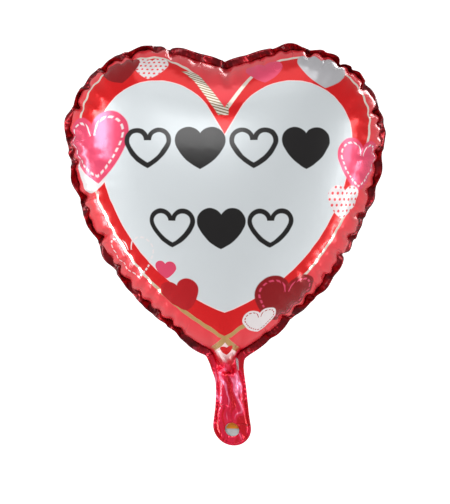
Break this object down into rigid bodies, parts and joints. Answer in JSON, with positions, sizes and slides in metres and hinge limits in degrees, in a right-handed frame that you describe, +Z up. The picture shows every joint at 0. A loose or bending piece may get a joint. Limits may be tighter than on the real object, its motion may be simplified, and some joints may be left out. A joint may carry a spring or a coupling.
{
  "type": "heart-shaped foil balloon",
  "caption": "Inflated heart-shaped foil balloon with a ruffled weld margin, a flat filling tail and a self-closing film valve.",
  "frame": {"origin": "middle of the neck root, on the hinge line between the envelope and the tail, in the weld plane", "axes": "+Z up through the middle of the heart, -Y out of the printed front, +X to the viewer's right when looking at the front"},
  "size_m": [0.3658, 0.204, 0.4485],
  "materials": {
    "printed_film": "glossy print",
    "red_foil": "metallic gloss",
    "pink_foil": "metallic gloss",
    "clear_film": "clear film",
    "amber_ink": "printed ink"
  },
  "bodies": {
    "envelope": {"front_panel": "printed_film", "rear_panel": "red_foil", "seam_margin": "red_foil"},
    "tail": {"neck_front_film": "pink_foil", "neck_rear_film": "pink_foil", "neck_side_weld": "red_foil", "valve_front_film": "clear_film", "valve_rear_film": "clear_film", "valve_side_welds": "clear_film", "valve_foil_seals": "clear_film", "release_ink": "amber_ink"},
    "front_lip": {"valve_front_lip": "clear_film"},
    "rear_lip": {"valve_rear_lip": "clear_film"}
  },
  "joints": [
    {"name": "tail_fold", "type": "hinge", "parent": "envelope", "child": "tail", "pos_m": [0, 0, 0], "axis": [1, 0, 0], "range_deg": [-90, 90]},
    {"name": "rear_lip_open", "type": "hinge", "parent": "envelope", "child": "rear_lip", "pos_m": [0, 0.00025, 0.005], "axis": [-1, 0, 0], "range_deg": [0, 14]},
    {"name": "front_lip_open", "type": "hinge", "parent": "envelope", "child": "front_lip", "pos_m": [0, -0.00025, 0.005], "axis": [1, 0, 0], "range_deg": [0, 14]}
  ]
}
